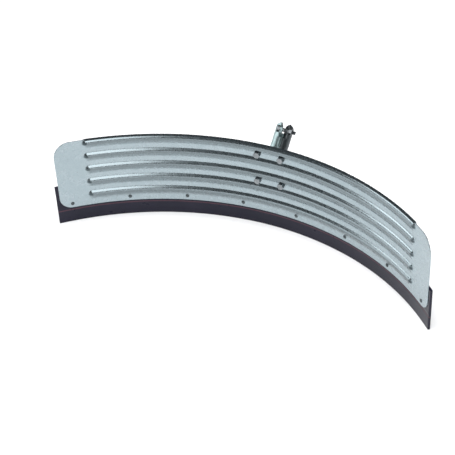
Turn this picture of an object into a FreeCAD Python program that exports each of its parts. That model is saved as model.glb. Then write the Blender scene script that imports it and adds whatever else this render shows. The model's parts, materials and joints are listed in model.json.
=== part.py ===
import FreeCAD
import Part
import Sketcher
import math
import os
from FreeCAD import Vector

# Curved squeegee head. A beaded steel sheet is rolled to an arc, a rubber blade hangs behind its
# lower edge, and a socket for a pole is bolted to the middle of its convex back.
#
# Frame: millimetres, +Z up, +X along the chord, +Y out of the convex back. The origin is the
# middle of the rubber's bottom edge. The bow's centre line is vertical, at x = 0 and negative y.

NODE_FOLDER = "parts"

# Driving dimensions: alias, value and what it measures.
SIZES = [
    ("bow_radius", 560.0, "concave face of the sheet to the bow's centre line"),
    ("sheet_thick", 1.5, "galvanised sheet"),
    ("plate_half_angle", 46.79, "half of the arc that the sheet covers, degrees"),
    ("plate_bottom", 35.0, "lower edge above the rubber's edge"),
    ("plate_top", 194.0, "upper edge"),
    ("upper_corner", 35.0, "radius of the two upper corners"),
    ("lower_corner", 26.0, "radius of the two lower corners"),
    ("bead_lowest", 60.5, "height of the lowest bead's middle"),
    ("bead_pitch", 31.0, "bead to bead"),
    ("bead_radius", 12.0, "radius of the bead's round section"),
    ("bead_rise", 4.0, "how far a bead stands out of the concave face"),
    ("bead_half_angle", 39.55, "half of a bead's straight run, degrees"),
    ("rubber_thick", 4.8, "rubber blade"),
    ("rubber_top", 91.0, "upper edge of the rubber"),
    ("rubber_half_angle", 47.5, "half of the arc that the rubber covers, degrees"),
    ("strip_thick", 2.5, "steel strip behind the rubber"),
    ("strip_tall", 25.0, "its height"),
    ("strip_half_angle", 45.5, "half of the arc that it covers, degrees"),
    ("rivet_level", 44.7, "height of the rivets"),
    ("rivet_half_angle", 44.15, "outermost rivet from the middle, degrees"),
    ("rivet_radius", 2.4, "shank"),
    ("rivet_head_radius", 4.0, "both heads"),
    ("rivet_head_rise", 2.0, "height of both heads"),
    ("pad_thick", 4.0, "bracket's base"),
    ("pad_half_angle", 3.86, "half of the arc that it covers, degrees"),
    ("pad_bottom", 94.0, "its lower edge"),
    ("pad_top", 183.0, "its upper edge"),
    ("pad_corner", 8.0, "its corners"),
    ("pad_bolt_angle", 2.76, "base bolt from the middle, degrees"),
    ("lean", 45.0, "socket's lean back from the vertical, degrees"),
    ("socket_level", 124.5, "where the socket's axis leaves the base"),
    ("socket_radius", 18.5, "outside of the socket"),
    ("bore_radius", 16.0, "bore for a 32 mm pole"),
    ("bore_floor", 28.0, "bottom of the bore along the axis"),
    ("socket_turn", 20.0, "turn of slit, ears and mouth about the socket's axis, to the right, degrees"),
    ("mouth_middle", 101.0, "mouth on the axis"),
    ("mouth_slant", 25.0, "mouth's slant off square, degrees"),
    ("slit_width", 5.0, "slit between the ears"),
    ("slit_floor", 60.0, "round end of the slit along the axis"),
    ("flare_floor", 96.0, "where the slit starts to flare, along the axis"),
    ("flare_angle", 24.4, "each side of the flare off the axis, degrees"),
    ("ear_thick", 5.5, "each ear"),
    ("ear_radius", 13.0, "round end of the ears"),
    ("pinch_along", 91.8, "clamp bolt along the socket's axis"),
    ("pinch_out", 24.0, "clamp bolt in front of the socket's axis"),
    ("spot_radius", 8.6, "flat seat for the washers on the ears"),
    ("bolt_radius", 3.97, "5/16 in bolts"),
    ("hole_radius", 4.2, "holes for them"),
    ("thread_bore", 4.02, "bore of their nuts"),
    ("flats", 12.7, "across flats of nuts and bolt heads"),
    ("nut_thick", 6.7, "nuts"),
    ("hex_head_thick", 5.2, "hexagon bolt heads"),
    ("washer_radius", 8.0, "washers"),
    ("washer_thick", 1.6, "washers"),
    ("pad_bolt_length", 15.9, "base bolts under the head"),
    ("clamp_bolt_length", 34.5, "clamp bolt under the head"),
    ("bolt_tip", 0.8, "chamfer on a bolt's end"),
    ("seat_relief", 0.05, "gap under a flat head on the concave face"),
]
BEAD_COUNT = 5
RIVET_COUNT = 8

# Expressions over the sheet that more than one piece needs.
BACK_FACE = "(Sizes.bow_radius + Sizes.sheet_thick)"
RUBBER_BACK = f"({BACK_FACE} + Sizes.rubber_thick)"
STRIP_BACK = f"({RUBBER_BACK} + Sizes.strip_thick)"
PAD_BACK = f"({BACK_FACE} + Sizes.pad_thick)"
BOW_CENTRE = f"({BACK_FACE} + Sizes.rubber_thick / 2)"
BEAD_CENTRE = "(Sizes.bow_radius + Sizes.bead_radius - Sizes.bead_rise)"
HEAD_SEAT = "(Sizes.bow_radius - Sizes.seat_relief)"
WASHER_SEAT = "(Sizes.slit_width / 2 + Sizes.ear_thick + Sizes.washer_thick)"

doc = FreeCAD.newDocument("SqueegeeHead")


# ---- the sheet and the places ----


def fill_sheet():
    sheet = doc.addObject("Spreadsheet::Sheet", "Sizes")
    for row, (alias, size, meaning) in enumerate(SIZES, start=1):
        sheet.set(f"A{row}", alias)
        sheet.set(f"B{row}", str(size))
        sheet.set(f"C{row}", meaning)
        sheet.setAlias(f"B{row}", alias)
    doc.recompute()
    return sheet


def measured(expression):
    """Number that an expression over the sheet has now, to start a sketch near its solution."""
    return float(sizes.evalExpression(expression))


def turned(axis, angle):
    return f"rotation(vector({axis}); {angle})"


def at(x, y, z, rotation=turned("0; 0; 1", 0)):
    return f"placement(vector({x}; {y}; {z}); {rotation})"


def on_bow(radius, angle, level):
    """Place whose +Z points out of the convex back, at an angle round the bow."""
    turn = at(0, f"-{BOW_CENTRE}", level, turned("0; 0; 1", f"-({angle})"))
    return f"{turn} * {at(0, radius, 0, turned('1; 0; 0', -90))}"


def in_socket(across, out, along, rotation=turned("0; 0; 1", 0)):
    """Place in the socket's own frame: +Z up its axis, +X across, and out towards the slit."""
    leaning = at(0, f"{PAD_BACK} - {BOW_CENTRE}", "Sizes.socket_level", turned("1; 0; 0", "-Sizes.lean"))
    turning = at(0, 0, 0, turned("0; 0; 1", "Sizes.socket_turn"))
    return f"{leaning} * {turning} * {at(across, f'-({out})', along, rotation)}"


# ---- shapes ----


def primitive(kind, name, place=None, **dimensions):
    item = doc.addObject(f"Part::{kind}", name)
    for dimension, expression in dimensions.items():
        item.setExpression(dimension, expression)
    return put(item, place) if place else item


def put(item, place):
    item.setExpression("Placement", place)
    return item


def fuse(name, *items):
    fused = doc.addObject("Part::MultiFuse", name)
    fused.Shapes = list(items)
    return fused


def cut(name, base, tool):
    result = doc.addObject("Part::Cut", name)
    result.Base = base
    result.Tool = tool
    return result


def common(name, *items):
    result = doc.addObject("Part::MultiCommon", name)
    result.Shapes = list(items)
    return result


def ring_plan(sketch, inner, outer, half_angle):
    """Plan of a band: two arcs about the sketch's origin, closed by two radial lines."""
    reach = math.radians(measured(half_angle))
    start, end = math.pi / 2 - reach, math.pi / 2 + reach
    arcs = []
    for radius in (inner, outer):
        circle = Part.Circle(Vector(0, 0, 0), Vector(0, 0, 1), measured(radius))
        arc = sketch.addGeometry(Part.ArcOfCircle(circle, start, end), False)
        sketch.addConstraint(Sketcher.Constraint("Coincident", arc, 3, -1, 1))
        index = sketch.addConstraint(Sketcher.Constraint("Radius", arc, measured(radius)))
        sketch.setExpression(f"Constraints[{index}]", radius)
        arcs.append(arc)
    for corner, angle in ((1, start), (2, end)):
        ray = Vector(math.cos(angle), math.sin(angle), 0)
        line = Part.LineSegment(ray * measured(inner), ray * measured(outer))
        side = sketch.addGeometry(line, False)
        sketch.addConstraint(Sketcher.Constraint("Coincident", side, 1, arcs[0], corner))
        sketch.addConstraint(Sketcher.Constraint("Coincident", side, 2, arcs[1], corner))
        sketch.addConstraint(Sketcher.Constraint("PointOnObject", -1, 1, side))
    sketch.addConstraint(Sketcher.Constraint("Symmetric", arcs[0], 1, arcs[0], 2, -2))
    index = sketch.addConstraint(Sketcher.Constraint("Angle", arcs[0], 2 * reach))
    sketch.setExpression(f"Constraints[{index}]", f"2 * {half_angle} * 1 deg")


def bowed_band(name, inner, outer, half_angle, bottom, top, corners=()):
    """Upright band round the bow, padded from its plan, with the named corners rounded."""
    body = put(doc.addObject("PartDesign::Body", name), at(0, f"-{BOW_CENTRE}", bottom))
    plan = body.newObject("Sketcher::SketchObject", f"{name}_plan")
    ground = next(plane for plane in body.Origin.OriginFeatures if plane.Role == "XY_Plane")
    plan.AttachmentSupport = (ground, "")
    plan.MapMode = "FlatFace"
    ring_plan(plan, inner, outer, half_angle)
    pad = body.newObject("PartDesign::Pad", f"{name}_pad")
    pad.Profile = plan
    pad.setExpression("Length", f"{top} - {bottom}")
    doc.recompute()
    for end, radius in corners:
        round_corners(body, f"{name}_{end}_corners", end, radius)
    return body


def round_corners(body, name, end, radius):
    """Fillet on the two short straight edges at the upper or the lower end of a band."""
    base = body.Tip
    heights = [vertex.Z for vertex in base.Shape.Vertexes]
    height = max(heights) if end == "upper" else min(heights)
    edges = []
    for number, edge in enumerate(base.Shape.Edges, start=1):
        level = all(abs(vertex.Z - height) < 0.01 for vertex in edge.Vertexes)
        if level and edge.Curve.TypeId == "Part::GeomLine":
            edges.append(f"Edge{number}")
    fillet = body.newObject("PartDesign::Fillet", name)
    fillet.Base = (base, edges)
    fillet.setExpression("Radius", radius)
    doc.recompute()


def dome(name, radius, rise, place):
    """Cap of a ball that stands on z = 0 and rises by the height given."""
    ball = f"(({radius} ^ 2 + {rise} ^ 2) / (2 * {rise}))"
    centre = at(0, 0, f"{rise} - {ball}")
    return primitive("Sphere", name, f"{place} * {centre}", Radius=ball, Angle1=f"asin(1 - {rise} / {ball})")


def hexagon(name, thick, both_faces):
    """Hexagon standing on z = 0, its corners turned off by 30 degree cones."""
    prism = primitive("Prism", f"{name}_blank", Circumradius="Sizes.flats / sqrt(3)", Height=thick)
    prism.Polygon = 6
    face = "Sizes.flats * 0.475"
    foot = f"{face} + {thick} * tan(60)"
    cones = [primitive("Cone", f"{name}_outer_cone", Radius1=foot, Radius2=face, Height=thick)]
    if both_faces:
        cones.append(primitive("Cone", f"{name}_inner_cone", Radius1=face, Radius2=foot, Height=thick))
    return common(f"{name}_hexagon", prism, *cones)


def shank(name, length):
    """Bolt's shank from z = 0 up, with a chamfered end."""
    stem = primitive("Cylinder", f"{name}_stem", Radius="Sizes.bolt_radius",
                     Height=f"{length} - Sizes.bolt_tip")
    tip = primitive("Cone", f"{name}_tip", at(0, 0, f"{length} - Sizes.bolt_tip"),
                    Radius1="Sizes.bolt_radius", Radius2="Sizes.bolt_radius - Sizes.bolt_tip",
                    Height="Sizes.bolt_tip")
    return fuse(f"{name}_shank", stem, tip)


def make_hex_bolt(name, length, place):
    """Hexagon bolt, its shank going up from z = 0 and its head below."""
    head = put(hexagon(name, "Sizes.hex_head_thick", False), at(0, 0, 0, turned("1; 0; 0", 180)))
    return put(fuse(name, head, shank(name, length)), place)


def make_nut(name, place):
    bore = primitive("Cylinder", f"{name}_bore", Radius="Sizes.thread_bore", Height="Sizes.nut_thick")
    return put(cut(name, hexagon(name, "Sizes.nut_thick", True), bore), place)


def make_washer(name, place):
    disc = primitive("Cylinder", f"{name}_disc", Radius="Sizes.washer_radius", Height="Sizes.washer_thick")
    hole = primitive("Cylinder", f"{name}_hole", Radius="Sizes.hole_radius", Height="Sizes.washer_thick")
    return put(cut(name, disc, hole), place)


# ---- sheet, rubber, strip and rivets ----


def rivet_places():
    """Angle and height of each rivet, evenly spaced along the lower edge."""
    for number in range(RIVET_COUNT):
        share = 2 * number / (RIVET_COUNT - 1) - 1
        yield f"Sizes.rivet_half_angle * {share}", "Sizes.rivet_level"


def pad_bolt_places():
    """Angle and height of the base's four bolts, on the flats between the beads."""
    for flat in (3.5, 1.5):
        for side in (-1, 1):
            yield f"{side} * Sizes.pad_bolt_angle", f"Sizes.bead_lowest + {flat} * Sizes.bead_pitch"


def drill(name, radius, places):
    """Pins that reach through everything on the bow, as tools for its holes."""
    pins = []
    for number, (angle, level) in enumerate(places, start=1):
        start = on_bow("Sizes.bow_radius - Sizes.bead_radius", angle, level)
        pins.append(primitive("Cylinder", f"{name}_{number}", start, Radius=radius,
                              Height="3 * Sizes.bead_radius"))
    return fuse(name, *pins)


def beads(name, section):
    """Rings with a round section and ball ends, whose middles lie behind the concave face."""
    pieces = []
    for number in range(BEAD_COUNT):
        level = f"Sizes.bead_lowest + {number} * Sizes.bead_pitch"
        place = at(0, f"-{BOW_CENTRE}", level, turned("0; 0; 1", "90 - Sizes.bead_half_angle"))
        pieces.append(primitive("Torus", f"{name}_ring_{number + 1}", place, Radius1=BEAD_CENTRE,
                                Radius2=section, Angle3="2 * Sizes.bead_half_angle"))
        for side, sign in (("left", -1), ("right", 1)):
            place = on_bow(BEAD_CENTRE, f"{sign} * Sizes.bead_half_angle", level)
            pieces.append(primitive("Sphere", f"{name}_{side}_end_{number + 1}", place, Radius=section))
    return fuse(name, *pieces)


def make_back_plate(*holes):
    blank = bowed_band("sheet_blank", "Sizes.bow_radius", BACK_FACE, "Sizes.plate_half_angle",
                       "Sizes.plate_bottom", "Sizes.plate_top",
                       [("upper", "Sizes.upper_corner"), ("lower", "Sizes.lower_corner")])
    middle = "Sizes.bow_radius + Sizes.sheet_thick / 2"
    concave_side = primitive("Cylinder", "concave_side", at(0, f"-{BOW_CENTRE}", "Sizes.plate_bottom"),
                             Radius=middle, Height="Sizes.plate_top - Sizes.plate_bottom")
    raised = common("raised_beads", beads("ridges", "Sizes.bead_radius"), concave_side)
    hollows = beads("hollows", "Sizes.bead_radius - Sizes.sheet_thick")
    beaded = cut("beaded_sheet", fuse("sheet_and_beads", blank, raised), hollows)
    return cut("back_plate", beaded, fuse("plate_holes", *holes))


def make_rubber_blade(holes):
    band = bowed_band("rubber_band", BACK_FACE, RUBBER_BACK, "Sizes.rubber_half_angle",
                      "0", "Sizes.rubber_top")
    return cut("rubber_blade", band, holes)


def make_clamp_strip(holes):
    bottom = "(Sizes.rivet_level - Sizes.strip_tall / 2)"
    band = bowed_band("strip_band", RUBBER_BACK, STRIP_BACK, "Sizes.strip_half_angle",
                      bottom, f"({bottom} + Sizes.strip_tall)")
    return cut("clamp_strip", band, holes)


def make_rivet(name, angle, level):
    grip = f"({STRIP_BACK} - {HEAD_SEAT})"
    head = ("Sizes.rivet_head_radius", "Sizes.rivet_head_rise")
    pin = primitive("Cylinder", f"{name}_pin", Radius="Sizes.rivet_radius", Height=grip)
    near = dome(f"{name}_near_head", *head, at(0, 0, 0, turned("1; 0; 0", 180)))
    far = dome(f"{name}_far_head", *head, at(0, 0, grip))
    return put(fuse(name, near, pin, far), on_bow(HEAD_SEAT, angle, level))


# ---- bracket and its bolts ----


def across_ears(start):
    """Place on the clamp bolt's axis, +Z to the right, that many millimetres right of the middle."""
    return in_socket(start, "Sizes.pinch_out", "Sizes.pinch_along", turned("0; 1; 0", 90))


def make_solid_socket():
    """Tube and ears with no holes yet, cut off at the mouth and inside the base's thickness."""
    radius = "Sizes.socket_radius"
    reach = "3 * Sizes.socket_radius"
    width = "(Sizes.slit_width + 2 * Sizes.ear_thick)"
    tube = primitive("Cylinder", "tube", in_socket(0, 0, f"-{reach}"), Radius=radius,
                     Height=f"{reach} + 2 * Sizes.mouth_middle")
    ear_end = primitive("Cylinder", "ear_end", across_ears(f"-{width} / 2"),
                        Radius="Sizes.ear_radius", Height=width)
    ear_corner = in_socket(f"-{width} / 2", "Sizes.pinch_out", "Sizes.pinch_along - Sizes.ear_radius")
    ear_root = primitive("Box", "ear_root", ear_corner, Length=width, Width="Sizes.pinch_out",
                         Height="2 * Sizes.ear_radius")
    slant = turned("1; 0; 0", "-Sizes.mouth_slant")
    beyond_mouth = primitive("Cylinder", "beyond_mouth", in_socket(0, 0, "Sizes.mouth_middle", slant),
                             Radius=f"2 * {reach}", Height=f"2 * {reach}")
    in_front = primitive("Cylinder", "in_front_of_pad", at(0, f"-{BOW_CENTRE}", 0),
                         Radius=f"{PAD_BACK} - Sizes.pad_thick / 2", Height="2 * Sizes.plate_top")
    limits = fuse("socket_limits", beyond_mouth, in_front)
    return cut("solid_socket", fuse("tube_and_ears", tube, ear_end, ear_root), limits)


def make_socket_tools():
    """Bore, slit with its round end and flare, pinch hole and the two washer seats."""
    reach = "3 * Sizes.socket_radius"
    beyond = "2 * Sizes.mouth_middle"
    bore = primitive("Cylinder", "bore", in_socket(0, 0, "Sizes.bore_floor"),
                     Radius="Sizes.bore_radius", Height=beyond)
    slit_corner = in_socket("-Sizes.slit_width / 2", reach, "Sizes.slit_floor")
    slit = primitive("Box", "slit", slit_corner, Length="Sizes.slit_width", Width=reach, Height=beyond)
    slit_end = primitive("Cylinder", "slit_end",
                         in_socket(0, 0, "Sizes.slit_floor", turned("1; 0; 0", 90)),
                         Radius="Sizes.slit_width / 2", Height=reach)
    narrow, high = "Sizes.slit_width / 2", "Sizes.mouth_middle"
    wide = f"({narrow} + {high} * tan(Sizes.flare_angle * 1 deg))"
    flare = primitive("Wedge", "flare", in_socket(0, 0, "Sizes.flare_floor", turned("1; 0; 0", 90)),
                      Xmin=f"-{narrow}", Xmax=narrow, Ymin="0", Ymax=high, Zmin="0", Zmax=reach,
                      X2min=f"-{wide}", X2max=wide, Z2min="0", Z2max=reach)
    pinch_hole = primitive("Cylinder", "pinch_hole", across_ears(f"-{reach}"),
                           Radius="Sizes.hole_radius", Height=f"2 * {reach}")
    ear_face = "(Sizes.slit_width / 2 + Sizes.ear_thick)"
    seats = [primitive("Cylinder", f"{side}_seat", across_ears(start), Radius="Sizes.spot_radius",
                       Height=reach)
             for side, start in (("left", f"-{ear_face} - {reach}"), ("right", ear_face))]
    return [bore, slit, slit_end, flare, pinch_hole, *seats]


def make_handle_bracket(pad_holes):
    pad = bowed_band("bracket_pad", BACK_FACE, PAD_BACK, "Sizes.pad_half_angle",
                     "Sizes.pad_bottom", "Sizes.pad_top",
                     [("upper", "Sizes.pad_corner"), ("lower", "Sizes.pad_corner")])
    tools = fuse("bracket_tools", *make_socket_tools(), pad_holes)
    return cut("handle_bracket", fuse("solid_bracket", pad, make_solid_socket()), tools)


def make_pad_bolt(number, angle, level):
    """Bolt through sheet and base, with the washer and nut on its end."""
    bolt = make_hex_bolt(f"bracket_bolt_{number}", "Sizes.pad_bolt_length", on_bow(HEAD_SEAT, angle, level))
    washer = make_washer(f"bracket_washer_{number}", on_bow(PAD_BACK, angle, level))
    nut = make_nut(f"bracket_nut_{number}", on_bow(f"({PAD_BACK} + Sizes.washer_thick)", angle, level))
    return [bolt, washer, nut]


def make_clamp_set():
    """Bolt across the ears, its head to the left, with a washer on each ear and the nut."""
    return [
        make_hex_bolt("clamp_bolt", "Sizes.clamp_bolt_length", across_ears(f"-{WASHER_SEAT}")),
        make_washer("clamp_head_washer", across_ears(f"-{WASHER_SEAT}")),
        make_washer("clamp_washer", across_ears(f"{WASHER_SEAT} - Sizes.washer_thick")),
        make_nut("clamp_nut", across_ears(WASHER_SEAT)),
    ]


# ---- the whole head ----


def make_head():
    rivet_holes = drill("rivet_holes", "Sizes.rivet_radius", rivet_places())
    pad_holes = drill("pad_holes", "Sizes.hole_radius", pad_bolt_places())
    pieces = [
        make_back_plate(rivet_holes, pad_holes),
        make_rubber_blade(rivet_holes),
        make_clamp_strip(rivet_holes),
        make_handle_bracket(pad_holes),
        *make_clamp_set(),
    ]
    for number, (angle, level) in enumerate(rivet_places(), start=1):
        pieces.append(make_rivet(f"blade_rivet_{number}", angle, level))
    for number, (angle, level) in enumerate(pad_bolt_places(), start=1):
        pieces += make_pad_bolt(number, angle, level)
    return pieces


def check(pieces):
    for item in doc.Objects:
        if "Invalid" in item.State or "Error" in item.State:
            raise RuntimeError(f"{item.Name} did not compute: {item.State}")
    for piece in pieces:
        if piece.Shape.isNull() or not piece.Shape.isValid():
            raise RuntimeError(f"{piece.Label} has no valid shape")
        if len(piece.Shape.Solids) != 1:
            raise RuntimeError(f"{piece.Label} has {len(piece.Shape.Solids)} solids")


sizes = fill_sheet()
head_pieces = make_head()
doc.recompute()
check(head_pieces)
os.makedirs(NODE_FOLDER, exist_ok=True)
for piece in head_pieces:
    piece.Shape.exportStep(os.path.join(NODE_FOLDER, f"{piece.Label}.step"))
    print(f"{piece.Label}: {piece.Shape.Volume / 1000:.2f} cm3")
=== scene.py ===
import json
import math
import bpy
import numpy as np
from mathutils import Matrix, Vector


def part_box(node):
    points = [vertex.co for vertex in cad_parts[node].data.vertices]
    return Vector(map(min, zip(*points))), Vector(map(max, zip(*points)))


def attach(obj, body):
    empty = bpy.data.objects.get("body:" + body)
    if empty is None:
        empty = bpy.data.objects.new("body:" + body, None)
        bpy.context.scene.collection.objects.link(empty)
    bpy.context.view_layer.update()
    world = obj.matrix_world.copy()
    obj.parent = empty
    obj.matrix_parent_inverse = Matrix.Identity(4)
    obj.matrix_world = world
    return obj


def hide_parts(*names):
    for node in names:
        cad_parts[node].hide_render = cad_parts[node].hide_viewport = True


# The looks of a curved squeegee head: beaded galvanised sheet, rubber blade, rivets, and the
# clamp socket with its bolts. Everything is in metres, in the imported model's frame.

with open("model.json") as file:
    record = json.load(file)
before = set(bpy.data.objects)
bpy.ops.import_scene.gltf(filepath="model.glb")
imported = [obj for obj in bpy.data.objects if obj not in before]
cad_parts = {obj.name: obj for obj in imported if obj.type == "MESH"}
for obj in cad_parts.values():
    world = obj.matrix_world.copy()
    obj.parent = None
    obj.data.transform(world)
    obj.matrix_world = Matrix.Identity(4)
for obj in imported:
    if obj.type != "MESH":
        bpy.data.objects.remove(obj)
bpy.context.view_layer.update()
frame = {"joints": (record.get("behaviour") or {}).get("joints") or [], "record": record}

# ---- sizes ----

BOW_RADIUS = 0.560
SHEET = 0.0015
RUBBER = 0.0048
STRIP = 0.0025
PAD = 0.004
SHEET_BACK = BOW_RADIUS + SHEET
RUBBER_BACK = SHEET_BACK + RUBBER
PAD_BACK = SHEET_BACK + PAD
BOW_CENTRE_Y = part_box("back_plate")[1].y - SHEET_BACK

BEAD_LEVELS = [0.0605 + 0.031 * number for number in range(5)]
BEAD_CROWN = 0.012
BEAD_LOWER_WIDTH = 0.0135
BEAD_RISE = 0.004
BEAD_FOOT = 0.0010
BEAD_HALF_RUN = math.radians(39.55) * BOW_RADIUS

UPPER_CORNER = 0.035
LOWER_CORNER = 0.026
EDGE_BREAK = 0.0003
WAVINESS = 0.00006

LIP_START = 0.0068
LIP_CURL = 420
LIP_PAST_END = 0.010
LIP_FADE = 0.009
LIP_ROWS = np.array([0.0004, 0.0008, 0.0012, 0.0018, 0.0024, 0.0032])

# Size and place of the painted shade on each bead's round ends.
MARK_PAST_END = 0.0040
MARK_LIFT = 0.0008
MARK_SIZE = (0.0048, 0.0034)
MARK_REACH = 1.3
MARK_FADE = 0.6
# Extent of the painted shade on each bead's lower flank.
FLANK_START = 0.0038
FLANK_FADE_IN = 0.0026
FLANK_END = BEAD_LOWER_WIDTH - 0.0030
FLANK_FADE_OUT = 0.0095
FLANK_PAST_END = 0.004

SEGMENTS = 48
BOLT_RADIUS = 0.00397
BOLT_PITCH = 0.0254 / 18
BOLT_NECK = 0.0004
BOLT_TIP = 0.0008
THREAD_DEPTH = 0.0008
HOLE_RADIUS = 0.0042
NUT_BORE = 0.00402
NUT_GROOVE = 0.00035
NUT_SINK = 0.0006
FLATS = 0.0127
NUT_THICK = 0.0067
WASHER_RADIUS = 0.008
WASHER_THICK = 0.0016
HEAD_SEAT = BOW_RADIUS - 0.00005

SOCKET_RADIUS = 0.0185
BORE_RADIUS = 0.016
BORE_FLOOR = 0.028
MOUTH_MIDDLE = 0.101
MOUTH_SLANT = math.radians(25.0)
SLIT_HALF = 0.0025
SLIT_FLOOR = 0.060
FLARE_FLOOR = 0.096
FLARE_ANGLE = math.radians(24.4)
EAR_FACE = 0.008
EAR_RADIUS = 0.013
SPOT_RADIUS = 0.0086
LEAD_IN = 0.0012
LEAD_IN_DEPTH = 0.004
PAD_TOP = 0.183
PAD_CORNER = 0.008
BRACKET_MESH_STEP = 0.00095
# Width over which the painted shade on the bracket's right side fades in.
SIDE_SHADE_FADE = 0.004
WASHER_SEAT = EAR_FACE + WASHER_THICK
HEAD_THICK = 0.0052
PAD_BOLT_LENGTH = 0.0159
CLAMP_BOLT_LENGTH = 0.0345


# ---- mesh helpers ----


def add_mesh(name, points, faces, material, body, sharp=35):
    """New piece from points in the model's frame, smooth except at edges sharper than that angle."""
    mesh = bpy.data.meshes.new(name)
    mesh.from_pydata([tuple(p) for p in np.asarray(points, float)], [], faces)
    mesh.validate()
    mesh.shade_smooth()
    mesh.set_sharp_from_angle(angle=math.radians(sharp))
    mesh.materials.append(material)
    piece = bpy.data.objects.new(name, mesh)
    bpy.context.scene.collection.objects.link(piece)
    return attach(piece, body)


def grid_faces(rows, columns, start=0, flip=False, wrap=False):
    """Quads of a grid whose points are numbered row by row."""
    faces = []
    for row in range(rows - 1):
        for column in range(columns if wrap else columns - 1):
            beside = (column + 1) % columns
            a = start + row * columns + column
            b = start + row * columns + beside
            quad = (a, b, b + columns, a + columns)
            faces.append(quad[::-1] if flip else quad)
    return faces


def place(points, matrix):
    return np.asarray(points) @ np.array(matrix.to_3x3()).T + np.array(matrix.translation)


def smooth_max(a, b, width):
    blend = np.clip(0.5 + 0.5 * (a - b) / width, 0, 1)
    return b + (a - b) * blend + width * blend * (1 - blend)


def smooth_min(a, b, width):
    return -smooth_max(-a, -b, width)


def eased(share):
    """Share from 0 to 1 that starts and ends gently."""
    return share ** 2 * (3 - 2 * share)


def ripple(along, level, wave, seed):
    """Gentle unevenness between -1 and 1, from sines with unrelated wavelengths."""
    rng = np.random.default_rng(seed)
    total = np.zeros_like(along)
    for _ in range(5):
        angle, phase = rng.uniform(0, 2 * math.pi, 2)
        length = wave * rng.uniform(0.7, 1.6)
        total += np.sin((along * math.cos(angle) + level * math.sin(angle)) * 2 * math.pi / length + phase)
    return total / 5


# ---- pieces round the bow ----


def bow_points(along, level, radius):
    """Points at an arc length along the concave face, a height, and a distance from the centre line."""
    angle = along / BOW_RADIUS
    y = BOW_CENTRE_Y + radius * np.cos(angle)
    return np.stack([radius * np.sin(angle), y, level], axis=-1)


def radial_frame(node):
    """Frame on a fastener of the bow: origin on the centre line, +Z outwards through the fastener."""
    low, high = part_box(node)
    middle = (low + high) / 2
    angle = math.atan2(middle.x, middle.y - BOW_CENTRE_Y)
    across = Vector((math.cos(angle), -math.sin(angle), 0))
    outward = Vector((math.sin(angle), math.cos(angle), 0))
    matrix = Matrix((across, Vector((0, 0, -1)), outward)).transposed().to_4x4()
    matrix.translation = Vector((0, BOW_CENTRE_Y, middle.z))
    return matrix


def upper_side(off, trim):
    """Height of a bead's upper side, a round crown that meets the flat at a tight foot."""
    crown = np.sqrt(np.maximum((BEAD_CROWN - trim) ** 2 - off ** 2, 0)) - (BEAD_CROWN - trim - BEAD_RISE)
    return smooth_max(crown, 0 * crown, BEAD_FOOT) * (off < BEAD_CROWN - trim)


def lower_side(off, trim):
    """Height of a bead's lower side, which runs out more gently."""
    return BEAD_RISE * (1 + np.cos(math.pi * np.minimum(off / (BEAD_LOWER_WIDTH - trim), 1))) / 2


def bead_rise(along, level, trim=0.0):
    """Height of the press-formed beads with their round ends. trim makes them smaller, for the back."""
    height = np.zeros_like(along)
    past_end = np.maximum(np.abs(along) - BEAD_HALF_RUN, 0)
    for middle in BEAD_LEVELS:
        off = np.hypot(past_end, level - middle)
        share = eased((1 + (level - middle) / np.maximum(off, 1e-9)) / 2)
        height += lower_side(off, trim) + (upper_side(off, trim) - lower_side(off, trim)) * share
    return height


def lip_drop(along, level):
    """How far the top edge is rolled back, past the top bead's crown and along its run."""
    off = np.clip(level - BEAD_LEVELS[-1], 0, None)
    rolled = np.sqrt(BEAD_CROWN ** 2 - off ** 2) - (BEAD_CROWN - BEAD_RISE)
    rolled -= LIP_CURL * np.maximum(off - LIP_START, 0) ** 2
    run_out = np.clip((BEAD_HALF_RUN + LIP_PAST_END - np.abs(along)) / LIP_FADE, 0, 1)
    return (upper_side(off, 0) - rolled) * eased(run_out)


def end_shade_mask(along, level):
    """Painted shade on the round ends of each bead, where they turn away from the light: 1 there and 0
    elsewhere.
    """
    mark = np.zeros_like(along)
    for middle in BEAD_LEVELS:
        past = (np.abs(along) - BEAD_HALF_RUN - MARK_PAST_END) / MARK_SIZE[0]
        off = np.hypot(past, (level - middle - MARK_LIFT) / MARK_SIZE[1])
        mark = np.maximum(mark, np.clip((MARK_REACH - off) / MARK_FADE, 0, 1))
    return mark


def flank_shade_mask(along, level):
    """Painted shade on each bead's lower flank, where it faces down to the darker floor by the sheet: 1
    there and 0 elsewhere.
    """
    flank_shade = np.zeros_like(along)
    past_end = np.maximum(np.abs(along) - BEAD_HALF_RUN, 0)
    for middle in BEAD_LEVELS:
        below = middle - level
        start = np.clip((below + FLANK_START) / FLANK_FADE_IN, 0, 1)
        end = np.clip((FLANK_END - below) / FLANK_FADE_OUT, 0, 1)
        flank_shade = np.maximum(flank_shade, start * end * np.clip(1 - past_end / FLANK_PAST_END, 0, 1))
    return flank_shade


def sheet_rows(bottom, top):
    """Heights of the sheet's rows, closer together where the corners turn fastest."""
    even_rows = 118
    rows = set(np.round(np.linspace(bottom, top, even_rows), 6)) | set(np.round(top - LIP_ROWS, 6))
    for degrees in range(4, 40, 4):
        turn = 1 - math.cos(math.radians(degrees))
        rows.add(round(top - UPPER_CORNER * turn, 6))
        rows.add(round(bottom + LOWER_CORNER * turn, 6))
    return np.array(sorted(rows))


def sheet_columns(inner):
    """Arc lengths of the sheet's inner columns, closer together at the beads' ends."""
    before, after, dense_step, gap, even_columns = 0.004, 0.013, 0.0011, 0.002, 76
    dense = np.arange(BEAD_HALF_RUN - before, BEAD_HALF_RUN + after, dense_step)
    plain = np.linspace(0, dense[0] - gap, even_columns)
    half = np.concatenate([plain, dense, [inner]])
    return np.concatenate([-half[:0:-1], half])


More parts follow.
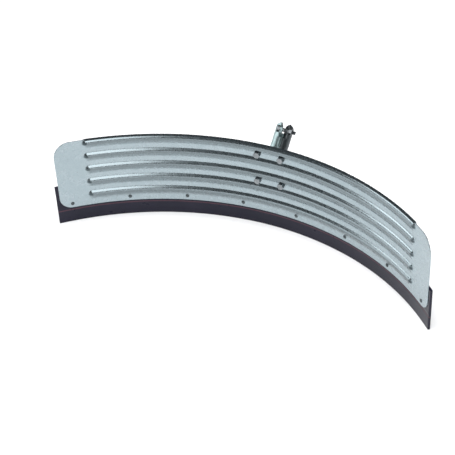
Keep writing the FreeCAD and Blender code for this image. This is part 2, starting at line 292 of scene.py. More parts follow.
def sheet_outline(levels, bottom, top, half):
    """Half length of the sheet at each height, less the rounded corners."""
    over = np.clip(levels - (top - UPPER_CORNER), 0, UPPER_CORNER)
    under = np.clip((bottom + LOWER_CORNER) - levels, 0, LOWER_CORNER)
    cut = UPPER_CORNER - np.sqrt(UPPER_CORNER ** 2 - over ** 2)
    cut += LOWER_CORNER - np.sqrt(LOWER_CORNER ** 2 - under ** 2)
    return half - cut


def sheet_grid(rows, inner_columns, inset):
    """Arc length and height of each grid point, with the outline moved in by the inset."""
    low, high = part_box("back_plate")
    bottom, top = low.z, high.z
    half = math.asin(high.x / SHEET_BACK) * BOW_RADIUS
    share = (rows - bottom) / (top - bottom)
    levels = bottom + inset + share * (top - bottom - 2 * inset)
    reach = sheet_outline(rows, bottom, top, half) - inset
    inner = inner_columns[-1]
    outer_columns, crowding = 12, 0.8
    steps = np.linspace(0, 1, outer_columns + 1)[1:] ** crowding
    outer = inner + (reach[:, None] - inner) * steps
    middle = np.tile(inner_columns, (len(rows), 1))
    along = np.concatenate([-outer[:, ::-1], middle, outer], axis=1)
    return along, np.tile(levels[:, None], (1, along.shape[1]))


def border(shape):
    """Indices round the edge of a grid, anticlockwise from its first corner."""
    index = np.arange(shape[0] * shape[1]).reshape(shape)
    return np.concatenate([index[0, :-1], index[:-1, -1], index[-1, :0:-1], index[:0:-1, 0]])


def sheet_skins(along, level):
    """Distances of the sheet's front and back from the bow's centre line."""
    shift = WAVINESS * ripple(along, level, 0.11, 4) + lip_drop(along, level)
    front = BOW_RADIUS - bead_rise(along, level) + shift
    return front, SHEET_BACK - bead_rise(along, level, SHEET / 2) + shift


def rim_faces(loops):
    """Quads between neighbouring loops of point numbers."""
    faces = []
    for inner, outer in zip(loops, loops[1:]):
        for here in range(len(inner)):
            after = (here + 1) % len(inner)
            faces.append((int(inner[after]), int(inner[here]), int(outer[here]), int(outer[after])))
    return faces


def build_sheet(material):
    """Beaded sheet: a front and a back skin, joined round the outline by a rim with broken edges."""
    low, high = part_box("back_plate")
    half = math.asin(high.x / SHEET_BACK) * BOW_RADIUS
    rows = sheet_rows(low.z, high.z)
    columns = sheet_columns(half - UPPER_CORNER - 0.0005)
    along, level = sheet_grid(rows, columns, EDGE_BREAK)
    front, back = sheet_skins(along, level)
    edge_along, edge_level = sheet_grid(rows, columns, 0)
    ring = border(along.shape)
    edge = edge_along.ravel()[ring], edge_level.ravel()[ring]
    edge_rise = BOW_RADIUS - front.ravel()[ring]
    rims = [bow_points(*edge, BOW_RADIUS - edge_rise + EDGE_BREAK),
            bow_points(*edge, SHEET_BACK - edge_rise - EDGE_BREAK)]
    points = np.concatenate([bow_points(along, level, front).reshape(-1, 3),
                             bow_points(along, level, back).reshape(-1, 3), *rims])
    count, turns = along.size, np.arange(len(ring))
    faces = grid_faces(*along.shape) + grid_faces(*along.shape, start=count, flip=True)
    faces += rim_faces([ring, 2 * count + turns, 2 * count + len(ring) + turns, count + ring])
    sheet = add_mesh("sheet_back_plate", points, faces, material, "head", sharp=60)
    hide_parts("back_plate")
    # Store the masks of painted shade at the beads' ends and on their lower flanks, on both skins.
    for name, shade in (("painted_end_shade", end_shade_mask), ("painted_flank_shade", flank_shade_mask)):
        values = np.concatenate([np.tile(shade(along, level).ravel(), 2), np.zeros(2 * len(ring))])
        sheet.data.attributes.new(name, "FLOAT", "POINT").data.foreach_set("value", values)


def rounded_section(inner, outer, bottom, top, rounding, spacing):
    """Closed section of a strip: (radius, height) pairs, anticlockwise from its lower inner corner."""
    corners = [(inner, bottom, 180), (outer, bottom, 270), (outer, top, 0), (inner, top, 90)]
    section = []
    for radius, height, start in corners:
        centre_r = radius + (rounding if radius == inner else -rounding)
        centre_z = height + (rounding if height == bottom else -rounding)
        for step in range(4):
            angle = math.radians(start + 30 * step)
            section.append((centre_r + rounding * math.cos(angle), centre_z + rounding * math.sin(angle)))
    filled = []
    for here, after in zip(section, section[1:] + section[:1]):
        steps = max(1, round(math.dist(here, after) / spacing))
        for step in range(steps):
            share = step / steps
            filled.append((here[0] + (after[0] - here[0]) * share, here[1] + (after[1] - here[1]) * share))
    return np.array(filled)


def end_caps(points, count):
    """Points with a hub for each end ring of that many points, and the triangles round both hubs."""
    faces = []
    for start, flip in ((0, True), (len(points) - count, False)):
        hub = len(points)
        points = np.concatenate([points, [points[start:start + count].mean(axis=0)]])
        for here in range(count):
            corner = (start + here, start + (here + 1) % count, hub)
            faces.append(corner[::-1] if flip else corner)
    return points, faces


def build_bowed_strip(name, node, section, rounding, spacing, material, shape=None):
    """Strip swept round the bow with rounded ends. shape moves the points of each station."""
    half = math.asin(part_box(node)[1].x / section[:, 0].max()) * BOW_RADIUS
    middle = section.mean(axis=0)
    size = np.ptp(section, axis=0)
    inside = np.linspace(-half + rounding, half - rounding, round(2 * half / spacing))
    turns = [math.radians(degrees) for degrees in (30, 60, 90)]
    ends = [(half - rounding + rounding * math.sin(turn), rounding * (1 - math.cos(turn)))
            for turn in turns]
    stations = [(-along, inset) for along, inset in ends[::-1]]
    stations += [(along, 0) for along in inside] + ends
    points = []
    for along, inset in stations:
        ring = middle + (section - middle) * (1 - 2 * inset / size)
        radius, level = ring[:, 0], ring[:, 1]
        if shape:
            radius, level = shape(along, radius, level)
        points.append(bow_points(np.full(len(ring), along), level, radius))
    faces = grid_faces(len(stations), len(section), wrap=True)
    points, caps = end_caps(np.concatenate(points), len(section))
    strip = add_mesh(name, points, [f[::-1] for f in faces + caps], material, "head", sharp=50)
    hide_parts(node)


def build_rubber(material):
    low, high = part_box("rubber_blade")
    plate_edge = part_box("back_plate")[0].z
    rounding, spacing = 0.0005, 0.0045
    section = rounded_section(SHEET_BACK, RUBBER_BACK, low.z, high.z, rounding, 0.0012)
    ledge, ledge_level = 0.0006, plate_edge - 0.006
    sway_size, lift_size, lift_reach = 0.0002, 0.00025, 0.004

    def shape(along, radius, level):
        """A moulded ledge below the sheet's edge, and a working edge that isn't quite even."""
        free = np.clip((plate_edge - level) / plate_edge, 0, 1)
        above = 1 / (1 + np.exp((ledge_level - level) / 0.0003))
        above = above * np.clip((plate_edge - level) / 0.001, 0, 1)
        near = (radius < (SHEET_BACK + RUBBER_BACK) / 2) * ledge * above
        spot = np.full_like(level, along)
        sway = sway_size * ripple(spot, level, 0.17, 11) * free
        lift = lift_size * (1 + ripple(spot, 0 * level, 0.09, 12))
        lift = lift * (1 - np.clip(level / lift_reach, 0, 1))
        return radius + near + sway, level + lift

    build_bowed_strip("moulded_rubber_blade", "rubber_blade", section, rounding, spacing,
                      material, shape)


def build_strip(material):
    low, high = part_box("clamp_strip")
    rounding, spacing = 0.0006, 0.006
    section = rounded_section(RUBBER_BACK, RUBBER_BACK + STRIP, low.z, high.z, rounding, 0.005)
    build_bowed_strip("rolled_clamp_strip", "clamp_strip", section, rounding, spacing,
                      material)


# ---- turned and hexagonal pieces ----


def spin(name, rows, matrix, material, body, segments=SEGMENTS, sharp=35):
    """Closed piece spun about +Z from rows of (radius, height). A radius may be one per segment.
    It closes on the axis where the first and last radius are 0, and on itself otherwise."""
    angles = np.arange(segments) * 2 * math.pi / segments
    solid = np.all(np.asarray(rows[0][0]) == 0)
    body_rows = rows[1:-1] if solid else rows
    points = []
    for radius, height in body_rows:
        radius = np.broadcast_to(radius, segments)
        points.append(np.stack([radius * np.cos(angles), radius * np.sin(angles),
                                np.broadcast_to(height, segments)], axis=-1))
    points = np.concatenate(points)
    faces = grid_faces(len(body_rows), segments, wrap=True)
    last = (len(body_rows) - 1) * segments
    if solid:
        ends = np.array([[0, 0, rows[0][1]], [0, 0, rows[-1][1]]])
        points = np.concatenate([points, ends])
        for column in range(segments):
            beside = (column + 1) % segments
            faces.append((beside, column, len(points) - 2))
            faces.append((last + column, last + beside, len(points) - 1))
    else:
        for column in range(segments):
            beside = (column + 1) % segments
            faces.append((last + column, last + beside, beside, column))
    return add_mesh(name, place(points, matrix), faces, material, body, sharp)


def arc_rows(centre_radius, centre_height, size, start, end, steps):
    """Rows along an arc in the (radius, height) plane, angles in degrees from +radius."""
    turns = [math.radians(start + (end - start) * step / steps) for step in range(steps + 1)]
    return [(centre_radius + size * math.cos(t), centre_height + size * math.sin(t)) for t in turns]


def dome_rows(radius, rise, base, sign, rim):
    """Rows of a domed head from its pole down to its seat. sign is +1 for a head that rises."""
    ball = (radius ** 2 + rise ** 2) / (2 * rise)
    rows = [(0, base + sign * rise)]
    reach = math.asin((radius - rim) / ball)
    steps = 9
    for step in range(1, steps + 1):
        turn = reach * step / steps
        rows.append((ball * math.sin(turn), base + sign * (rise - ball * (1 - math.cos(turn)))))
    edge = rows[-1][1]
    rows.append((radius - rim * 0.3, edge - sign * rim * 0.45))
    rows.append((radius, base + sign * min(rim, abs(edge - base) * 0.5)))
    rows.append((radius - rim * 0.25, base))
    return rows


def thread_wave(height):
    """Depth of the thread at each segment at a height, from 0 on its crest to 1 in its root."""
    turn = (height / BOLT_PITCH - np.arange(SEGMENTS) / SEGMENTS) % 1
    return np.clip(np.abs(turn - 0.5) * 2.4 - 0.15, 0, 1)


def thread_rows(start, end):
    """Rows of a threaded shank, its thread cut as a helix and run out at both ends."""
    rows = []
    for height in np.arange(start, end, BOLT_PITCH / 8):
        fade = min(1, (height - start) / BOLT_PITCH, (end - height) / BOLT_PITCH + 0.35)
        taper = max(0, height - (end - BOLT_TIP))
        rows.append((BOLT_RADIUS - THREAD_DEPTH * thread_wave(height) * fade - taper, height))
    rows.append((BOLT_RADIUS - BOLT_TIP - 0.0003, end))
    return rows


def hex_radius():
    """Distance from the axis to a hexagon's side at each segment, corners slightly rounded."""
    angles = np.arange(SEGMENTS) * 360 / SEGMENTS
    off = np.radians((angles % 60) - 30)
    return np.minimum(FLATS / 2 / np.cos(off), FLATS / math.sqrt(3) * 0.99)


def hex_rows(thick, chamfer_base):
    """Rows up the outside of a hexagon, its corners turned off by a 30 degree cone."""
    side = hex_radius()
    face = FLATS / 2 * 0.95
    depths = np.array([0, 0.0001, 0.0002, 0.00035, 0.0005, 0.00065, 0.0008])
    turned = [(np.minimum(side, face + depth * math.tan(math.radians(60))), depth) for depth in depths]
    rows = turned[:] if chamfer_base else [(side, 0)]
    return rows + [(radius, thick - depth) for radius, depth in turned[::-1]]


def build_nut(name, node, matrix, material, body):
    """Hexagon nut, its bore countersunk at both ends and threaded inside."""
    inside = []
    steps = 26
    for step in range(steps + 1):
        height = NUT_THICK * (1 - step / steps)
        sunk = max(0, NUT_SINK - min(height, NUT_THICK - height))
        inside.append((NUT_BORE + thread_wave(height) * NUT_GROOVE + sunk, height))
    nut = spin(name, inside + hex_rows(NUT_THICK, True), matrix, material, body, sharp=28)
    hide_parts(node)


def build_washer(name, node, matrix, material, body):
    """Stamped washer: one face with rolled edges, the other with a slight burr."""
    rim = 0.0005
    rows = [(HOLE_RADIUS, rim * 0.5), (HOLE_RADIUS + rim * 0.2, 0), (WASHER_RADIUS - rim * 0.3, 0),
            (WASHER_RADIUS, rim * 0.4)]
    rows += arc_rows(WASHER_RADIUS - rim, WASHER_THICK - rim, rim, 0, 90, 4)
    rows += arc_rows(HOLE_RADIUS + rim, WASHER_THICK - rim, rim, 90, 180, 4)
    washer = spin(name, rows[::-1], matrix, material, body)
    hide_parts(node)


def build_rivets(material):
    """Rivets with a low domed head in front, and a tail upset behind the strip, dimpled by its tool."""
    head, rise, pin, rim = 0.004, 0.002, 0.0024, 0.0003
    dimple = ((0.0014, 0.0003), (0.0008, 0.0008), (0, 0.0009))
    tail = RUBBER_BACK + STRIP
    for number in range(1, 9):
        node = f"blade_rivet_{number}"
        rows = dome_rows(head, rise, HEAD_SEAT, -1, rim) + [(pin, HEAD_SEAT), (pin, tail)]
        upset = dome_rows(head, rise, tail, 1, rim)[::-1]
        upset[-2:] = [(radius, tail + rise - depth) for radius, depth in dimple]
        rivet = spin(f"domed_rivet_{number}", rows + upset, radial_frame(node), material,
                     "head", segments=32)
        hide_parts(node)


def build_hex_bolt(name, node, matrix, length, thread_start, material):
    """Hexagon bolt with its head below z = 0, a rounded neck, and a thread on the end of its shank."""
    head = [(radius, -height) for radius, height in hex_rows(HEAD_THICK, False)][::-1]
    rows = [(0, -HEAD_THICK)] + head + [(BOLT_RADIUS + BOLT_NECK, 0), (BOLT_RADIUS, BOLT_NECK)]
    rows += thread_rows(thread_start, length) + [(0, length)]
    bolt = spin(name, rows, matrix, material, "head", sharp=28)
    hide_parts(node)


def build_pad_bolts(material):
    for number in range(1, 5):
        node = f"bracket_bolt_{number}"
        matrix = radial_frame(node)
        build_hex_bolt(f"hex_bracket_bolt_{number}", node, matrix @ Matrix.Translation((0, 0, HEAD_SEAT)),
                       PAD_BOLT_LENGTH, PAD_BACK - HEAD_SEAT, material)
        on_pad = matrix @ Matrix.Translation((0, 0, PAD_BACK))
        build_washer(f"stamped_bracket_washer_{number}", f"bracket_washer_{number}", on_pad,
                     material, "head")
        on_washer = on_pad @ Matrix.Translation((0, 0, WASHER_THICK))
        build_nut(f"hex_bracket_nut_{number}", f"bracket_nut_{number}", on_washer, material, "head")


# ---- the socket and its clamp ----

socket_mount = next(m for m in frame["record"]["mounts"] if m["name"] == "handle_socket")
SOCKET_AXIS = Vector(socket_mount["axis"])
MOUNT_POINT = Vector(socket_mount["pos_m"])
PAD_BACK_Y = BOW_CENTRE_Y + PAD_BACK
SOCKET_ROOT = MOUNT_POINT + SOCKET_AXIS * ((PAD_BACK_Y - MOUNT_POINT.y) / SOCKET_AXIS.y)
nut_turn = next(j for j in frame["joints"] if j["name"] == "nut_turn")
PINCH = Vector(nut_turn["pos_m"])
ACROSS = Vector(nut_turn["axis"])
SOCKET_OUT = ACROSS.cross(SOCKET_AXIS)
PINCH_ALONG = (PINCH - SOCKET_ROOT).dot(SOCKET_AXIS)
PINCH_OUT = (PINCH - SOCKET_ROOT).dot(SOCKET_OUT)


def clamp_frame(start):
    """Frame on the clamp bolt's axis, +Z to the right, with its origin that far right of the slit."""
    down = -SOCKET_AXIS
    matrix = Matrix((down, ACROSS.cross(down), ACROSS)).transposed().to_4x4()
    matrix.translation = PINCH + ACROSS * start
    return matrix


def rounded(first, second, rounding):
    """Distance to where two shapes overlap, with the edge between them rounded."""
    a, b = first + rounding, second + rounding
    return np.hypot(np.maximum(a, 0), np.maximum(b, 0)) + np.minimum(np.maximum(a, b), 0) - rounding


def base_distance(radius, arc, level):
    """Distance to the bracket's base, a rounded plate bowed like the sheet it lies on."""
    low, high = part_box("handle_bracket")
    middle, half = (low.z + PAD_TOP) / 2, (PAD_TOP - low.z) / 2
    side = np.maximum(np.abs(arc) - (high.x - PAD_CORNER), 0)
    end = np.maximum(np.abs(level - middle) - (half - PAD_CORNER), 0)
    thick = np.abs(radius - (SHEET_BACK + PAD / 2)) - PAD / 2
    return rounded(np.hypot(side, end) - PAD_CORNER, thick, 0.0009)


def past_mouth(out, along):
    """Distance past the socket's slanted mouth."""
    return (along - MOUTH_MIDDLE) * math.cos(MOUTH_SLANT) - out * math.sin(MOUTH_SLANT)


def socket_distance(across, out, along):
    """Distance to the round socket and its two ears, cut off at the mouth."""
    tube = np.hypot(across, out) - SOCKET_RADIUS
    past_end = out - np.clip(out, 0, PINCH_OUT)
    ears = rounded(np.hypot(along - PINCH_ALONG, past_end) - EAR_RADIUS, np.abs(across) - EAR_FACE, 0.0011)
    return rounded(smooth_min(tube, ears, 0.004), past_mouth(out, along), 0.0006)


def socket_cuts(across, out, along):
    """Distances to what is cut from the socket: bore, slit, notch, bolt hole, washer seats, lead-in."""
    off, mouth = np.hypot(across, out), past_mouth(out, along)
    bore = np.maximum(off - BORE_RADIUS, BORE_FLOOR - along)
    slit = np.maximum(np.hypot(across, np.minimum(along - SLIT_FLOOR, 0)) - SLIT_HALF, -out)
    beside, above = np.abs(across) - SLIT_HALF, along - FLARE_FLOOR
    notch = beside * math.cos(FLARE_ANGLE) - above * math.sin(FLARE_ANGLE)
    notch = np.maximum(np.maximum(notch, -above), -out)
    pinch = np.hypot(along - PINCH_ALONG, out - PINCH_OUT)
    seat = np.maximum(pinch - SPOT_RADIUS, EAR_FACE - np.abs(across))
    lead_in = np.maximum(off - BORE_RADIUS - LEAD_IN - mouth, -LEAD_IN_DEPTH - mouth)
    return [bore, slit, notch, pinch - HOLE_RADIUS, seat, lead_in]


def base_holes(radius, arc, level):
    """Distances to the four bolt holes in the base."""
    holes = []
    for number in range(1, 5):
        centre = radial_frame(f"bracket_bolt_{number}")
        outward = centre.col[2]
        bolt_arc = math.atan2(outward.x, outward.y) * PAD_BACK
        off = np.hypot(arc - bolt_arc, level - centre.translation.z)
        holes.append(np.maximum(off - HOLE_RADIUS, radius - PAD_BACK - 0.001))
    return holes


def bracket_distance(points):
    """Signed distance to the cast bracket: its base and socket, less the bore, slit and holes."""
    x, y, level = points[..., 0], points[..., 1] - BOW_CENTRE_Y, points[..., 2]
    bowed = np.hypot(x, y), np.arctan2(x, y) * PAD_BACK, level
    radius = bowed[0]
    turned = [np.dot(points - np.array(SOCKET_ROOT), np.array(axis))
              for axis in (ACROSS, SOCKET_OUT, SOCKET_AXIS)]
    socket = np.maximum(socket_distance(*turned), SHEET_BACK + 0.001 - radius)
    body = smooth_min(base_distance(*bowed), socket, 0.006)
    body = np.maximum(body, SHEET_BACK - radius)
    for cut in socket_cuts(*turned) + base_holes(*bowed):
        body = rounded(body, -cut, 0.0004)
    return body


def crossing_means(field):
    """Which cells the zero level passes through, and the mean of its crossings of each one's edges."""
    inside = field < 0
    cells = tuple(size - 1 for size in field.shape)
    total = np.zeros(cells + (3,))
    crossings = np.zeros(cells)
    corners = [(a, b, c) for a in (0, 1) for b in (0, 1) for c in (0, 1)]
    for first in corners:
        for axis in range(3):
            if first[axis]:
                continue
            second = tuple(1 if n == axis else v for n, v in enumerate(first))
            ends = [tuple(slice(o, o + c) for o, c in zip(corner, cells)) for corner in (first, second)]
            here, there = field[ends[0]], field[ends[1]]
            crosses = inside[ends[0]] != inside[ends[1]]
            total += crosses[..., None] * np.array(first)
            total[..., axis] += np.where(crosses, here / np.where(crosses, here - there, 1), 0)
            crossings += crosses
    used = crossings > 0
    return used, np.argwhere(used) + total[used] / crossings[used][:, None]


def crossing_quads(inside, number):
    """A quad round each grid edge that leaves or enters the body, from the numbers of its four cells."""
    faces = []
    for axis in range(3):
        u, v = (axis + 1) % 3, (axis + 2) % 3
        near = [slice(1, -1)] * 3
        near[axis] = slice(0, -1)
        far = list(near)
        far[axis] = slice(1, None)
        change = inside[tuple(near)] != inside[tuple(far)]
        starts = np.argwhere(change) + np.array([0 if n == axis else 1 for n in range(3)])
        outward = inside[tuple(near)][change]
        back_u, back_v = np.eye(3, dtype=int)[u], np.eye(3, dtype=int)[v]
        ring = [starts - back_u - back_v, starts - back_v, starts, starts - back_u]
        quads = np.stack([number[tuple(cell.T)] for cell in ring], axis=1)
        quads[~outward] = quads[~outward][:, ::-1]
        faces += quads.tolist()
    return faces


def onto_surface(points, distance, step):
    """Points moved onto the zero level of a distance function, along its slope."""
    nudge = step * 0.05
    for _ in range(3):
        here = distance(points)
        slope = np.stack([(distance(points + nudge * axis) - here) / nudge for axis in np.eye(3)], axis=-1)
        length = np.maximum((slope ** 2).sum(axis=-1), 0.25)
        move = np.clip(here / length, -step / 2, step / 2)
        points = points - move[:, None] * slope
    return points


def surface_nets(distance, low, high, step):
    """Quad mesh on the zero level of a distance function."""
    axes = [np.arange(a - 2 * step, b + 3 * step, step) for a, b in zip(low, high)]
    field = distance(np.stack(np.meshgrid(*axes, indexing="ij"), axis=-1))
    used, cells = crossing_means(field)
    number = -np.ones(used.shape, int)
    number[used] = np.arange(used.sum())
    points = np.array([a[0] for a in axes]) + step * cells
    return onto_surface(points, distance, step), crossing_quads(field < 0, number)


def build_bracket(material):
    low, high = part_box("handle_bracket")
    points, faces = surface_nets(bracket_distance, low, high, BRACKET_MESH_STEP)
    bracket = add_mesh("cast_handle_bracket", points, faces, material, "head", sharp=180)
    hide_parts("handle_bracket")
    # Mask of painted shade: 1 on the bracket's right side and 0 on its left, fading across the plane of
    # the slit.
    across = np.dot(points - np.array(SOCKET_ROOT), np.array(ACROSS))
    scale = bracket.data.attributes.new("painted_shade_side", "FLOAT", "POINT")
    scale.data.foreach_set("value", np.clip(0.5 + across / SIDE_SHADE_FADE, 0, 1))


def build_clamp(material):
    build_hex_bolt("hex_clamp_bolt", "clamp_bolt", clamp_frame(-WASHER_SEAT), CLAMP_BOLT_LENGTH, 0.014,
                   material)
    build_washer("stamped_head_washer", "clamp_head_washer", clamp_frame(-WASHER_SEAT), material, "head")
    build_washer("stamped_clamp_washer", "clamp_washer", clamp_frame(EAR_FACE), material, "washer")
    build_nut("hex_clamp_nut", "clamp_nut", clamp_frame(WASHER_SEAT), material, "nut")


# ---- materials ----

SHEET_TINTS = (0.345, 0.405, 0.43, 1), (0.30, 0.36, 0.385, 1)
STRIP_TINTS = (0.60, 0.65, 0.67, 1), (0.46, 0.51, 0.53, 1)
ZINC_DUST = (0.30, 0.32, 0.33, 1)
# Painted shade: tint that darkens each bead's lower flank.
FLANK_SHADE_TINT = (0.135, 0.16, 0.17, 1)
# Painted shade: tint that darkens each bead's round ends.
END_SHADE_TINT = (0.04, 0.055, 0.06, 1)
RUBBER_TINTS = (0.007, 0.007, 0.019, 1), (0.018, 0.015, 0.032, 1)
RUBBER_SCUFF = (0.075, 0.07, 0.075, 1)
# Painted highlight: lighter tint for the band of light along the moulded ledge.
LEDGE_HIGHLIGHT_TINT = (0.085, 0.036, 0.052, 1)
CASTING_TINTS = (0.33, 0.44, 0.45, 1), (0.48, 0.60, 0.61, 1)
CASTING_GRAIN = (0.16, 0.18, 0.18, 1)
# Painted shade: near-black tint laid over the bracket's right side.
CASTING_SIDE_SHADE = (0.050, 0.050, 0.054, 1)
PLATED_TINTS = (0.19, 0.21, 0.22, 1), (0.27, 0.285, 0.295, 1)
PLATED_NICK = (0.09, 0.095, 0.10, 1)
# Painted shade: rivet tints kept dark for the dark reflections and shadow on the domed heads.
RIVET_TINTS = (0.09, 0.105, 0.11, 1), (0.20, 0.22, 0.23, 1)
PAPER_TINTS = (0.93, 0.93, 0.94, 1), (0.95, 0.95, 0.955, 1)


class Nodes:
    """Short way to build a material's node tree around one Principled shader."""

    def __init__(self, name, **constants):
        self.material = bpy.data.materials.new(name)
        self.material.use_nodes = True
        self.tree = self.material.node_tree
        self.shader = self.tree.nodes["Principled BSDF"]
        for socket, value in constants.items():
            self.shader.inputs[socket.replace("_", " ")].default_value = value
        self.place = self.tree.nodes.new("ShaderNodeTexCoord").outputs["Object"]

    def node(self, kind, **settings):
        node = self.tree.nodes.new(f"ShaderNode{kind}")
        for name, value in settings.items():
            setattr(node, name, value)
        return node

    def feed(self, socket, value):
        if isinstance(value, bpy.types.NodeSocket):
            self.tree.links.new(value, socket)
        else:
            socket.default_value = value

    def stretched(self, scale):
        mapping = self.node("Mapping")
        self.feed(mapping.inputs["Vector"], self.place)
        mapping.inputs["Scale"].default_value = scale
        return mapping.outputs["Vector"]

    def noise(self, scale, detail=4.0, rough=0.55, stretch=(1, 1, 1)):
        node = self.node("TexNoise")
        self.feed(node.inputs["Vector"], self.stretched(stretch))
        node.inputs["Scale"].default_value = scale
        node.inputs["Detail"].default_value = detail
        node.inputs["Roughness"].default_value = rough
        return node.outputs["Fac"]

    def cells(self, scale):
        node = self.node("TexVoronoi", feature="F1")
        self.feed(node.inputs["Vector"], self.place)
        node.inputs["Scale"].default_value = scale
        return node.outputs["Color"]

    def spread(self, value, low, high, out_low=0.0, out_high=1.0):
        node = self.node("MapRange", clamp=True)
        self.feed(node.inputs["Value"], value)
        limits = {"From Min": low, "From Max": high, "To Min": out_low, "To Max": out_high}
        for name, limit in limits.items():
            node.inputs[name].default_value = limit
        return node.outputs["Result"]

    def math(self, operation, first, second):
        node = self.node("Math", operation=operation)
        self.feed(node.inputs[0], first)
        self.feed(node.inputs[1], second)
        return node.outputs[0]

    def mix(self, share, first, second):
        node = self.node("Mix", data_type="RGBA")
        self.feed(node.inputs["Factor"], share)
        self.feed(node.inputs["A"], first)
        self.feed(node.inputs["B"], second)
        return node.outputs["Result"]

    def grey(self, colour):
        node = self.node("RGBToBW")
        self.feed(node.inputs[0], colour)
        return node.outputs[0]

    def bump(self, height, depth, below=None):
        node = self.node("Bump")
        node.inputs["Strength"].default_value = 1.0
        node.inputs["Distance"].default_value = depth
        self.feed(node.inputs["Height"], height)
        if below is not None:
            self.feed(node.inputs["Normal"], below)
        return node.outputs["Normal"]

    def finish(self, colour, roughness, normal):
        self.feed(self.shader.inputs["Base Color"], colour)
        self.feed(self.shader.inputs["Roughness"], roughness)
        self.feed(self.shader.inputs["Normal"], normal)
        return self.material


def galvanised(name, light, dark, smooth, rough, spangle=140, paint_bead_shade=False):
    """Zinc-coated steel: faint spangle, hazy patches, rolling marks, and, when asked, painted shade on the
    beads' lower flanks and at their ends.
    """
    n = Nodes(name, Metallic=1.0)
    grain = n.grey(n.cells(spangle))
    haze = n.noise(9, 5)
    marks = n.noise(60, 3, 0.6, (0.12, 0.12, 9))
    share = n.math("ADD", n.math("MULTIPLY", grain, 0.35), n.math("MULTIPLY", haze, 0.65))
    colour = n.mix(n.spread(share, 0.3, 0.75), dark, light)
    dust = n.spread(n.noise(420, 2), 0.66, 0.74)
    colour = n.mix(n.math("MULTIPLY", dust, 0.25), colour, ZINC_DUST)
    if paint_bead_shade:
        # Painted shade on each bead's lower flank, broken up by the haze.
        flank_shade = n.node("Attribute", attribute_name="painted_flank_shade").outputs["Fac"]
        flank_shade_share = n.math("MULTIPLY", flank_shade, n.spread(haze, 0.2, 0.6, 0.74, 0.90))
        colour = n.mix(flank_shade_share, colour, FLANK_SHADE_TINT)
        # Painted shade on each bead's round ends, broken up by the haze.
        bead_end_shade = n.node("Attribute", attribute_name="painted_end_shade").outputs["Fac"]
        end_shade_share = n.math("MULTIPLY", bead_end_shade, n.spread(haze, 0.2, 0.6, 0.8, 0.95))
        colour = n.mix(end_shade_share, colour, END_SHADE_TINT)
    roughness = n.spread(n.math("ADD", share, n.math("MULTIPLY", marks, 0.4)), 0.4, 1.0, smooth, rough)
    normal = n.bump(marks, 0.000002)
    normal = n.bump(n.noise(700, 3), 0.0000006, normal)
    return n.finish(colour, roughness, normal)


def rubber(name):
    """Black rubber with mould bloom, fine pits, and a scuffed working edge."""
    n = Nodes(name, Metallic=0.0, Specular_IOR_Level=0.26)
    bloom = n.spread(n.noise(14, 6), 0.42, 0.72)
    colour = n.mix(n.math("MULTIPLY", bloom, 0.5), *RUBBER_TINTS)
    separate = n.node("SeparateXYZ")
    n.feed(separate.inputs[0], n.place)
    height = separate.outputs["Z"]
    scuff = n.math("MULTIPLY", n.spread(height, 0.0, 0.006, 1, 0), n.noise(240, 4))
    colour = n.mix(n.spread(scuff, 0.3, 0.7, 0, 0.6), colour, RUBBER_SCUFF)
    # Painted highlight: a lighter band along the moulded ledge below the sheet's edge, for the light the
    # ledge catches.
    line = n.math("MULTIPLY", n.spread(height, 0.0278, 0.0284), n.spread(height, 0.0300, 0.0306, 1, 0))
    colour = n.mix(n.math("MULTIPLY", line, 0.8), colour, LEDGE_HIGHLIGHT_TINT)
    roughness = n.spread(n.noise(35, 5), 0.3, 0.75, 0.26, 0.38)
    lines = n.noise(90, 2, 0.5, (0.05, 0.05, 12))
    normal = n.bump(lines, 0.00005)
    normal = n.bump(n.noise(1500, 3), 0.00003, normal)
    return n.finish(colour, roughness, normal)


def cast_zinc(name):
    """Zinc-plated casting: grainy skin, darker in the grain, in patches of lighter and darker tint, with
    painted shade over its right side.
    """
    n = Nodes(name, Metallic=1.0)
    grain = n.noise(520, 4, 0.6)
    patch = n.noise(38, 5)
    colour = n.mix(n.spread(patch, 0.35, 0.7), *CASTING_TINTS)
    colour = n.mix(n.spread(grain, 0.35, 0.5, 0.45, 0), colour, CASTING_GRAIN)
    # Painted shade over the bracket's right side, broken up by the patches.
    scale = n.node("Attribute", attribute_name="painted_shade_side").outputs["Fac"]
    share = n.math("MULTIPLY", scale, n.spread(patch, 0.3, 0.7, 0.84, 0.95))
    colour = n.mix(share, colour, CASTING_SIDE_SHADE)
    roughness = n.spread(n.math("ADD", grain, patch), 0.7, 1.35, 0.34, 0.54)
    normal = n.bump(patch, 0.0003)
    normal = n.bump(grain, 0.00012, normal)
    return n.finish(colour, roughness, normal)


def plated(name):
    """Bright zinc on turned steel: soft cloudy tint, tool marks and small nicks."""
    n = Nodes(name, Metallic=1.0)
    cloud = n.noise(160, 4)
    colour = n.mix(n.spread(cloud, 0.35, 0.7), *PLATED_TINTS)
    nick = n.spread(n.noise(900, 3), 0.64, 0.72)
    colour = n.mix(n.math("MULTIPLY", nick, 0.5), colour, PLATED_NICK)
    roughness = n.spread(n.math("ADD", cloud, nick), 0.3, 1.3, 0.28, 0.50)
    normal = n.bump(n.noise(1300, 3), 0.00002)
    return n.finish(colour, roughness, normal)


def shade_darkened_steel(name):
    """Rivet steel darkened as painted shade, for the dark reflections and shadow on the domed heads, with
    a worn grey bloom and fine scale.
    """
    n = Nodes(name, Metallic=0.85)
    worn = n.spread(n.noise(300, 5), 0.52, 0.75)
    colour = n.mix(n.math("MULTIPLY", worn, 0.4), *RIVET_TINTS)
    roughness = n.spread(worn, 0, 1, 0.50, 0.38)
    return n.finish(colour, roughness, n.bump(n.noise(1800, 3), 0.00003))


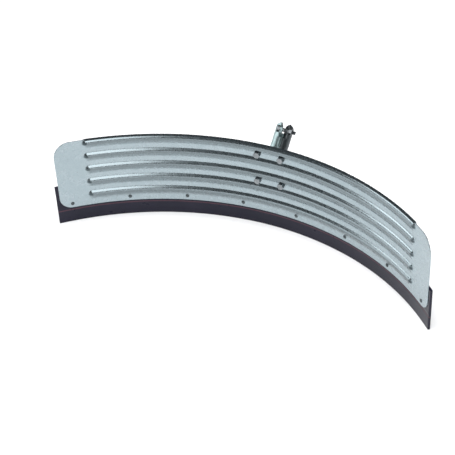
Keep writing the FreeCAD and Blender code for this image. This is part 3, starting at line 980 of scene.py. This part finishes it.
def floor_paper(name):
    """Matt paper with faint clouds and a fine tooth."""
    n = Nodes(name, Metallic=0.0, Specular_IOR_Level=0.1)
    cloud = n.noise(2.5, 4)
    colour = n.mix(cloud, *PAPER_TINTS)
    return n.finish(colour, n.spread(cloud, 0, 1, 0.85, 0.95), n.bump(n.noise(300, 3), 0.00005))


# ---- floor, light and camera ----

CAMERA_PLACE = Vector((0.91395, -1.77246, 1.38817))
CAMERA_AZIMUTH = math.radians(29.95)
CAMERA_TILT = math.radians(90 - 34.89)
CAMERA_ROLL = math.radians(3.06)
CAMERA_LENS = 91.01
SENSOR_WIDTH = 36
FLOOR_HALF = 6.0
WORLD_TINT = (0.9, 0.95, 1.0, 1)


def build_floor():
    corners = [(x * FLOOR_HALF, y * FLOOR_HALF, 0) for x, y in ((-1, -1), (1, -1), (1, 1), (-1, 1))]
    mesh = bpy.data.meshes.new("floor")
    mesh.from_pydata(corners, [], [(0, 1, 2, 3)])
    mesh.materials.append(floor_paper("paper_floor"))
    floor = bpy.data.objects.new("floor", mesh)
    bpy.context.scene.collection.objects.link(floor)


def softbox(name, azimuth, elevation, distance, size, radiance, mirrored=True):
    """Area light facing the origin. Azimuth 0 is on the concave side, and it grows towards +X."""
    light = bpy.data.lights.new(name, "AREA")
    light.shape = "RECTANGLE"
    light.size, light.size_y = size
    light.energy = radiance * math.pi * size[0] * size[1]
    lamp = bpy.data.objects.new(name, light)
    a, e = math.radians(azimuth), math.radians(elevation)
    lamp.location = distance * Vector((math.sin(a) * math.cos(e), -math.cos(a) * math.cos(e), math.sin(e)))
    lamp.rotation_euler = (-lamp.location).to_track_quat("-Z", "Y").to_euler()
    lamp.visible_glossy = mirrored
    bpy.context.scene.collection.objects.link(lamp)


def build_world(strength):
    world = bpy.data.worlds.new("studio")
    world.use_nodes = True
    background = world.node_tree.nodes["Background"]
    background.inputs["Color"].default_value = WORLD_TINT
    background.inputs["Strength"].default_value = strength
    bpy.context.scene.world = world


def build_camera():
    data = bpy.data.cameras.new("camera")
    data.lens = CAMERA_LENS
    data.sensor_width = SENSOR_WIDTH
    camera = bpy.data.objects.new("camera", data)
    turn = Matrix.Rotation(CAMERA_AZIMUTH, 4, "Z") @ Matrix.Rotation(CAMERA_TILT, 4, "X")
    camera.matrix_world = Matrix.Translation(CAMERA_PLACE) @ turn @ Matrix.Rotation(-CAMERA_ROLL, 4, "Z")
    bpy.context.scene.collection.objects.link(camera)
    bpy.context.scene.camera = camera


def build_studio():
    build_floor()
    build_world(0.10)
    softbox("front", azimuth=36, elevation=38, distance=4.0, size=(2.6, 3.4), radiance=2.5)
    softbox("left", azimuth=-82, elevation=22, distance=4.0, size=(2.8, 1.9), radiance=3.0)
    softbox("overhead", azimuth=0, elevation=86, distance=2.6, size=(2.2, 2.2), radiance=6.2,
            mirrored=False)
    build_camera()
    bpy.context.scene.view_settings.view_transform = "Standard"


# ---- the whole head ----

# The sheet's zinc carries painted shade on its beads' lower flanks and ends.
sheet_zinc = galvanised("galvanised_sheet", *SHEET_TINTS, smooth=0.23, rough=0.31, paint_bead_shade=True)
strip_zinc = galvanised("galvanised_strip", *STRIP_TINTS, smooth=0.30, rough=0.46, spangle=90)
fastener_zinc = plated("zinc_fastener")
build_sheet(sheet_zinc)
build_rubber(rubber("black_rubber"))
build_strip(strip_zinc)
build_rivets(shade_darkened_steel("shade_darkened_rivet"))
build_bracket(cast_zinc("cast_zinc"))
build_pad_bolts(fastener_zinc)
build_clamp(fastener_zinc)
build_studio()
